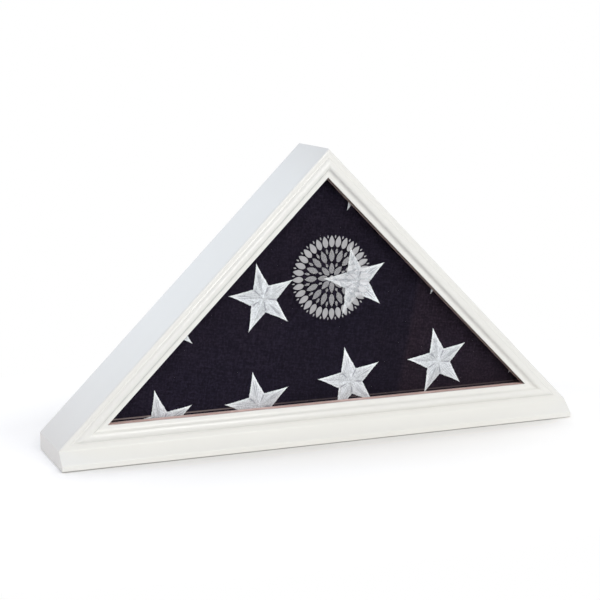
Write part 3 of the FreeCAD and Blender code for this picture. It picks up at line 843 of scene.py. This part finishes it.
# Embroidered stars, on a leaning lattice across the front of the flag
stars = {
    "points": 5,
    "radius": 0.0415,
    "notchRatio": 0.385,
    "tipNarrow": 0.32,  # how much an arm is drawn in at its tip
    "turn": 10.6,
    "first": (-0.0721, 0.1664),
    "pitch": 0.1156,
    "rise": 7.5,
    "rowPitch": 0.1196,
    "rowLean": 3.1,
    "latticeReach": 5,
    # how far some stars lie off the lattice: (place, row) to (across, up)
    "strays": {
        (0, 0): (-0.0004, 0.0018),
        (1, 0): (0.0004, -0.0004),
        (1, 1): (-0.0001, 0.0014),
        (2, 1): (0.0, 0.0005),
        (0, 1): (0.0004, -0.0033),
        (-1, 1): (-0.0010, 0.0011),
    },
    "hiddenTurn": 130.0,  # faces further round the fold are left out
    "rings": 22,
    "halfSteps": 30,
    "crown": 0.0011,
    "crownFall": 0.25,
    "edgePower": 6,  # the higher, the steeper the rim
    "edgeSink": 0.0001,
    "grooveWidth": 0.055,
    "grooveDepth": 0.45,
    "grooveStart": (0.1, 0.4),
    "jag": 0.0005,
    # along an arm, where each painted line or band starts, is full, fades and ends
    "ribSpan": (0.12, 0.28, 0.62, 0.88),
    "seamSpan": (0.15, 0.5, 0.8, 1.0),
    "flankSpan": (0.15, 0.4, 0.7, 0.95),
    "ribShading": (-1.0, 1.0),  # least and most painted shade of the line along an arm; under zero it is a painted highlight
    "flankShading": (0.1, 0.75),  # and of the bands beside it
    "flankPlace": (0.22, 0.10),
    # painted highlights along the rim and towards the tips
    "rimHighlight": 0.2,
    "rimStart": (0.80, 0.95),
    "tipHighlight": 0.45,
    "tipStart": (0.6, 1.0),
    "laySpacing": 0.083,  # keeps the threads of each half apart from the next
    "stitchSlant": 0.55,
    "paintedSheenTurn": 35.0,  # threads along this direction get the most painted sheen
    "centrePaintedSheen": 0.5,
    "seed": 21,
}


# Centres of the stars that reach onto the face
def starCentres():
    lattice = np.arange(-stars["latticeReach"], stars["latticeReach"] + 1)
    place, row = (grid.ravel() for grid in np.meshgrid(lattice, lattice))
    rise, lean = radians(stars["rise"]), radians(stars["rowLean"])
    x = stars["first"][0] + place * stars["pitch"] * cos(rise) - row * stars["rowPitch"] * sin(lean)
    z = stars["first"][1] + place * stars["pitch"] * sin(rise) - row * stars["rowPitch"] * cos(lean)
    for (strayPlace, strayRow), (across, up) in stars["strays"].items():
        stray = (place == strayPlace) & (row == strayRow)
        x, z = x + across * stray, z + up * stray
    near = edgeDepth(x, z) > -stars["radius"]
    return np.stack([x[near], z[near]], -1)


# Outline of a star, half an arm at a time: straight from tip to notch, then bowed inwards as
# the width shrinks by the square of the way from the notch, with jagged stitches
def starRim(half, share, toTip):
    turn = pi / 2 + radians(stars["turn"]) + np.arange(2 * stars["points"] + 1) * pi / stars["points"]
    atTip = np.arange(len(turn)) % 2 == 0
    radius = np.where(atTip, stars["radius"], stars["radius"] * stars["notchRatio"])
    corner = np.stack([np.cos(turn), np.sin(turn)], -1) * radius[:, None]
    rim = corner[half] + (corner[half + 1] - corner[half]) * share[:, None]
    axis = turn[0] + ((half + 1) // 2) * 2 * pi / stars["points"]
    armWay = np.stack([np.cos(axis), np.sin(axis)], -1)
    onAxis = (rim * armWay).sum(1)[:, None] * armWay
    rim = onAxis + (rim - onAxis) * (1 - stars["tipNarrow"] * (1 - toTip) ** 2)[:, None]
    stitchChance = np.random.default_rng(stars["seed"])
    jag = stars["jag"] * stitchChance.uniform(-1, 1, len(half)) * (share > 0)
    return rim * (1 + jag / np.linalg.norm(rim, axis=1))[:, None], axis


# One star as rings from its centre to its rim: each arm has two padded halves, with grooves
# along the arm and between the arms, and the rim is drawn down into the cloth
def starShape():
    half, step = np.divmod(np.arange(2 * stars["points"] * stars["halfSteps"]), stars["halfSteps"])
    share = step / stars["halfSteps"]
    # the half at an even place starts at a tip, the next one ends at a tip
    startsAtTip = half % 2 == 0
    toTip = np.where(startsAtTip, share, 1 - share)
    rim, axis = starRim(half, share, toTip)
    ring = np.sin(np.linspace(0, pi / 2, stars["rings"] + 1))[1:]
    out = ring[:, None]
    flat = rim[None] * ring[:, None, None]

    rib = np.exp(-((toTip / stars["grooveWidth"]) ** 2))
    seam = np.exp(-(((1 - toTip) / stars["grooveWidth"]) ** 2))
    padding = 1 - stars["grooveDepth"] * np.maximum(rib, seam) * smoothStep(out, *stars["grooveStart"])
    edge = np.sqrt(1 - out ** stars["edgePower"])
    height = stars["crown"] * padding * edge * (1 - stars["crownFall"] * out)
    height[-1] = -stars["edgeSink"]

    flankMiddle, flankWidth = stars["flankPlace"]
    flank = np.exp(-(((toTip - flankMiddle) / flankWidth) ** 2))
    # painted highlights along the rim and towards the tips
    nearTip = smoothStep(out, *stars["tipStart"]) * (1 - toTip)
    paintedHighlight = stars["rimHighlight"] * smoothStep(out, *stars["rimStart"]) + stars["tipHighlight"] * nearTip

    # threads run out from the arm's own line, slanting towards its tip
    along = flat[..., 0] * np.cos(axis) + flat[..., 1] * np.sin(axis)
    across = np.abs(flat[..., 1] * np.cos(axis) - flat[..., 0] * np.sin(axis))
    # painted sheen: satin threads are lightest along one direction, by half of one plus the cosine of twice
    # the turn
    threadTurn = axis + np.where(startsAtTip, 1, -1) * np.arctan(1 / stars["stitchSlant"])
    paintedSheen = (1 + np.cos(2 * (threadTurn - radians(stars["paintedSheenTurn"])))) / 2
    return {
        "half": half,
        "arm": (half + 1) // 2 % stars["points"],
        "flat": flat,
        "height": height,
        "stitch": np.stack([along - stars["stitchSlant"] * across, across], -1),
        "paintedSheen": np.repeat([paintedSheen], stars["rings"], 0),
        "rib": window(out, *stars["ribSpan"]) * rib,
        "flank": window(out, *stars["flankSpan"]) * flank,
        # painted shade along the seams, less the painted highlights
        "plain": window(out, *stars["seamSpan"]) * seam - paintedHighlight,
    }


# Lays points of the front face over the first fold: past the fold's start they follow its arc
def wrapFold(x, z, height):
    radius = flag["outerFold"] / 2
    depth = edgeDepth(x, z)
    turn = np.clip((radius - depth) / radius, 0, pi)
    inset = radius * (1 - np.sin(turn)) - height * np.sin(turn)
    away = np.where(turn > 0, depth - inset, 0.0)
    onFoot = z - flagFoot < slopeDepth(x, z)
    outX = np.where(onFoot, 0.0, np.sign(x) / sqrt(2))
    outZ = np.where(onFoot, -1.0, 1 / sqrt(2))
    y = flagFront + radius * (1 - np.cos(turn)) - height * np.cos(turn)
    y = y - np.where(turn > 0, 0.0, clothLift(x, z))
    return np.stack([x + outX * away, y, z + outZ * away], -1), turn


# Painted shade and highlight of every star: each arm has its own strength of line and of the bands beside it
def starPaintedShading(star, count):
    armChance = np.random.default_rng(stars["seed"])
    ribs = armChance.uniform(*stars["ribShading"], (count, stars["points"]))
    ribs = np.sign(ribs) * np.sqrt(np.abs(ribs))  # few arms are left with a faint line
    flanks = armChance.uniform(*stars["flankShading"], (count, stars["points"]))
    arm = star["arm"]
    return ribs[:, None, arm] * star["rib"] + flanks[:, None, arm] * star["flank"] + star["plain"]


def makeStars():
    star = starShape()
    centres = starCentres()
    count = len(centres)
    rings, columns = star["height"].shape
    each = rings * columns
    x = centres[:, 0, None, None] + star["flat"][None, ..., 0]
    z = centres[:, 1, None, None] + star["flat"][None, ..., 1]
    laid, turn = wrapFold(x, z, np.repeat(star["height"][None], count, 0))
    middle, middleTurn = wrapFold(centres[:, 0], centres[:, 1], np.full(count, stars["crown"]))
    points = np.concatenate([laid.reshape(-1, 3), middle])
    starts = np.arange(count) * each
    quads = (ringFaces(rings, columns)[None] + starts[:, None, None]).reshape(-1, 4)[:, ::-1]
    fans = np.concatenate([
        poleFaces(count * each + n, start, columns)[:, ::-1] for n, start in enumerate(starts)
    ])

    shown = np.concatenate([turn.ravel(), middleTurn]) < radians(stars["hiddenTurn"])
    quadsShown, fansShown = shown[quads].all(1), shown[fans].all(1)
    quads, fans = quads[quadsShown], fans[fansShown]
    used = np.unique(np.concatenate([quads.ravel(), fans.ravel()]))
    renumber = np.zeros(len(points), int)
    renumber[used] = np.arange(len(used))
    faceSets = [renumber[quads], renumber[fans]]
    piece = addPiece("starEmbroidery", points[used], faceSets, finishes["star_thread"])

    mesh = piece.data
    paintedShadings = np.concatenate([starPaintedShading(star, count).ravel(), np.zeros(count)])
    paintedSheens = np.concatenate([np.tile(star["paintedSheen"].ravel(), count), np.full(count, stars["centrePaintedSheen"])])
    addPointValues(mesh, "paintedShading", paintedShadings[used])
    addPointValues(mesh, "paintedSheen", paintedSheens[used])
    firstHalf = np.arange(count)[:, None] * 2 * stars["points"]
    quadHalf = (np.tile(star["half"], rings - 1) + firstHalf).ravel()[quadsShown]
    fanHalf = (star["half"] + firstHalf).ravel()[fansShown]
    apart = stars["laySpacing"] * np.concatenate([np.repeat(quadHalf, 4), np.repeat(fanHalf, 3)])
    stitches = np.concatenate([np.tile(star["stitch"].reshape(-1, 2), (count, 1)), np.zeros((count, 2))])
    corners = np.empty(len(mesh.loops), np.int32)
    mesh.loops.foreach_get("vertex_index", corners)
    lay = stitches[used][corners] + np.stack([apart, np.zeros(len(apart))], -1)
    mesh.uv_layers.new(name="stitch").data.foreach_set("uv", lay.ravel())
    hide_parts("embroidered_stars")
    return piece


starEmbroidery = makeStars()
print("stars:", len(starEmbroidery.data.polygons), "faces")

# Etched rosette on the glass: rings of petals and beads, the inner ones fainter
faint = 0.62
rosette = {
    "centre": (0.0056, 0.1895),
    "relief": 0.00012,
    "steps": 22,
    "sides": 10,
    "bellyLean": 0.8,  # under one, a petal is widest nearer its inner end
    "bellyRound": 0.8,
    "riseRound": 0.5,
    "mergeWithin": 1e-7,
    "rings": [
        {"count": 32, "from": 0.0350, "to": 0.0485, "width": 0.0070},
        {"count": 32, "from": 0.0455, "to": 0.0492, "width": 0.0016, "shift": 0.5},
        {"count": 16, "from": 0.0185, "to": 0.0335, "width": 0.0068, "strength": faint},
        {"count": 16, "from": 0.0275, "to": 0.0342, "width": 0.0030, "shift": 0.5, "strength": faint},
        {"count": 8, "from": 0.0045, "to": 0.0175, "width": 0.0066, "strength": faint},
        {"count": 8, "from": 0.0130, "to": 0.0180, "width": 0.0028, "shift": 0.5, "strength": faint},
        {"count": 1, "from": -0.0030, "to": 0.0030, "width": 0.0060},
    ],
}


# The petals of one ring. A petal lies along a spoke: its half width is a sine of the way along,
# drawn to a point at both ends, and its section is a flat ellipse that stands on the glass.
def petalPoints(ring):
    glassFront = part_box("glass_pane")[0][1]
    share = np.linspace(0, 1, rosette["steps"])[:, None]
    around = np.linspace(0, 2 * pi, rosette["sides"], endpoint=False)[None]
    along = ring["from"] + (ring["to"] - ring["from"]) * share
    half = ring["width"] / 2 * np.sin(pi * share ** rosette["bellyLean"]) ** rosette["bellyRound"]
    side = half * np.cos(around)
    rise = rosette["relief"] / 2 * (1 + np.sin(around)) * np.sin(pi * share) ** rosette["riseRound"]
    spokes = (np.arange(ring["count"]) + ring.get("shift", 0)) * 2 * pi / ring["count"] + pi / 2
    spoke = spokes[:, None, None]
    x = rosette["centre"][0] + along * np.cos(spoke) - side * np.sin(spoke)
    z = rosette["centre"][1] + along * np.sin(spoke) + side * np.cos(spoke)
    y = np.broadcast_to(glassFront - rise, x.shape)
    return np.stack([x, y, z], -1).reshape(-1, 3)


def makeRosette():
    sets, faces, strengths, start = [], [], [], 0
    petal = ringFaces(rosette["steps"], rosette["sides"])
    each = rosette["steps"] * rosette["sides"]
    for ring in rosette["rings"]:
        points = petalPoints(ring)
        offsets = start + np.arange(ring["count"]) * each
        faces.append((petal[None] + offsets[:, None, None]).reshape(-1, 4))
        strengths.append(np.full(len(points), ring.get("strength", 1.0)))
        sets.append(points)
        start += len(points)
    piece = addPiece("etchedRosette", np.concatenate(sets), faces, etchedFrost)
    addPointValues(piece.data, "strength", np.concatenate(strengths))
    # the ends of a petal are closed to single points
    work = bmesh.new()
    work.from_mesh(piece.data)
    bmesh.ops.remove_doubles(work, verts=work.verts, dist=rosette["mergeWithin"])
    work.to_mesh(piece.data)
    work.free()
    return piece


etchedRosette = makeRosette()
print("rosette:", len(etchedRosette.data.polygons), "faces")

# Stage: a white floor that keeps the shadow, an even world and soft lamps
stage = {
    "floorReach": 12.0,
    "floorColour": (0.92, 0.905, 0.88),
    "farColour": (0.62, 0.62, 0.62),  # what the far floor throws back at the object
    "floorLift": 0.315,
    "farLift": 0.75,
    "floorRound": (0.5, 1.0, 1.0),  # the near floor is an oval
    "nearFloor": 0.22,  # within this reach the floor is lit, beyond the far one it shows plain white
    "farFloor": 0.45,
    "shades": ((0.06, 0.62), (0.15, 0.27)),  # reach and depth of the shade before the foot
    "shadeSamples": 16,
    "shadeFront": -0.065,
    "shadeBack": -0.035,
    "shadeMiddle": -0.015,
    "shadeEnds": (0.300, 0.345),
    "shadeBeside": 0.05,  # its share beside the foot
    "ambient": 0.49,
    "lampTarget": (0.0, 0.0, 0.12),
}
warmWhite = (1.0, 0.985, 0.965)
lamps = {
    "leftLamp": {"place": (-0.54, -2.30, 1.09), "size": 0.6, "watts": 9.55, "colour": warmWhite},
    "rightLamp": {"place": (0.58, -2.25, 0.80), "size": 0.6, "watts": 10.2, "colour": warmWhite},
    "topLamp": {"place": (0.22, -1.54, 1.66), "size": 1.0, "watts": 8.8, "colour": warmWhite},
    "fillLamp": {"place": (-0.95, 0.65, 2.5), "size": 1.4, "watts": 9.0, "colour": (0.30, 0.52, 1.0)},
    "rearLamp": {"place": (-0.60, 2.34, 0.98), "size": 0.8, "watts": 2.1, "colour": (0.80, 0.92, 1.0)},
    "lowLamp": {"place": (-0.95, 0.0, 0.05), "size": 0.3, "watts": 0.4, "colour": (1.0, 0.58, 0.40)},
}


# Share of rays that show the background: seen directly, mirrored or through glass
def shownRays(tree):
    path = addNode(tree, "LightPath").outputs
    direct = maths(tree, "MAXIMUM", path["Is Camera Ray"], path["Is Glossy Ray"])
    return maths(tree, "MAXIMUM", direct, path["Is Transmission Ray"])


# Shade close to the foot: how much nearby hides the sky, before the foot and between its ends
def footShade(tree, place):
    shade = 0.0
    for reach, depth in stage["shades"]:
        hiding = addNode(tree, "AmbientOcclusion", {"Distance": reach}, samples=stage["shadeSamples"])
        shade = maths(tree, "ADD", shade, remap(tree, hiding.outputs["AO"], 0.0, 1.0, depth, 0.0))
    spot = addNode(tree, "SeparateXYZ", {0: place}).outputs
    inFront = remap(tree, spot["Y"], stage["shadeFront"], stage["shadeBack"], 1.0, stage["shadeBeside"])
    aside = maths(tree, "ABSOLUTE", maths(tree, "SUBTRACT", spot["X"], stage["shadeMiddle"]))
    between = remap(tree, aside, *stage["shadeEnds"], 1.0, stage["shadeBeside"])
    return maths(tree, "MULTIPLY", shade, maths(tree, "MULTIPLY", inFront, between))


def makeFloorWhite():
    material, tree = emptyMaterial("floorWhite")
    place = addNode(tree, "TexCoord").outputs["Object"]
    oval = stretch(tree, place, stage["floorRound"])
    radius = addNode(tree, "VectorMath", {0: oval}, operation="LENGTH").outputs["Value"]
    far = remap(tree, radius, stage["nearFloor"], stage["farFloor"], 0.0, 1.0)
    colour = mixColour(tree, far, stage["floorColour"], stage["farColour"])
    diffuse = addNode(tree, "BsdfDiffuse", {"Color": colour})
    rise = remap(tree, far, 0.0, 1.0, stage["floorLift"], stage["farLift"])
    glow = addNode(tree, "Emission", {"Strength": maths(tree, "MULTIPLY", shownRays(tree), rise)})
    lit = addNode(tree, "AddShader", {0: diffuse.outputs[0], 1: glow.outputs[0]})
    plain = addNode(tree, "Emission", {"Strength": 1.0})
    shown = maths(tree, "MULTIPLY", far, shownRays(tree))
    both = addNode(tree, "MixShader", {0: shown, 1: lit.outputs[0], 2: plain.outputs[0]})
    dark = addNode(tree, "BsdfDiffuse", {"Color": (0, 0, 0, 1)})
    shadeShown = maths(tree, "MULTIPLY", footShade(tree, place), shownRays(tree))
    shaded = addNode(tree, "MixShader", {0: shadeShown, 1: both.outputs[0], 2: dark.outputs[0]})
    addNode(tree, "OutputMaterial", {"Surface": shaded.outputs[0]})
    return material


def makeFloor():
    reach = stage["floorReach"]
    corners = [(-reach, -reach, 0), (reach, -reach, 0), (reach, reach, 0), (-reach, reach, 0)]
    mesh = bpy.data.meshes.new("floor")
    mesh.from_pydata(corners, [], [(0, 1, 2, 3)])
    mesh.materials.append(makeFloorWhite())
    floor = bpy.data.objects.new("floor", mesh)
    scene.collection.objects.link(floor)


def makeWorld():
    world = bpy.data.worlds.new("studio")
    world.use_nodes = True
    tree = world.node_tree
    tree.nodes.clear()
    strength = remap(tree, shownRays(tree), 0.0, 1.0, stage["ambient"], 1.0)
    background = addNode(tree, "Background", {"Color": (1, 1, 1, 1), "Strength": strength})
    addNode(tree, "OutputWorld", {"Surface": background.outputs[0]})
    scene.world = world


# Square lamps that face the object and aren't seen through the glass
def makeLamps():
    for name, lamp in lamps.items():
        data = bpy.data.lights.new(name, "AREA")
        data.size = lamp["size"]
        data.energy = lamp["watts"]
        data.color = lamp["colour"]
        lampObject = bpy.data.objects.new(name, data)
        lampObject.location = lamp["place"]
        away = lampObject.location - Vector(stage["lampTarget"])
        lampObject.rotation_euler = away.to_track_quat("Z", "Y").to_euler()
        lampObject.visible_transmission = False
        scene.collection.objects.link(lampObject)


makeFloor()
makeWorld()
makeLamps()
print("stage set")
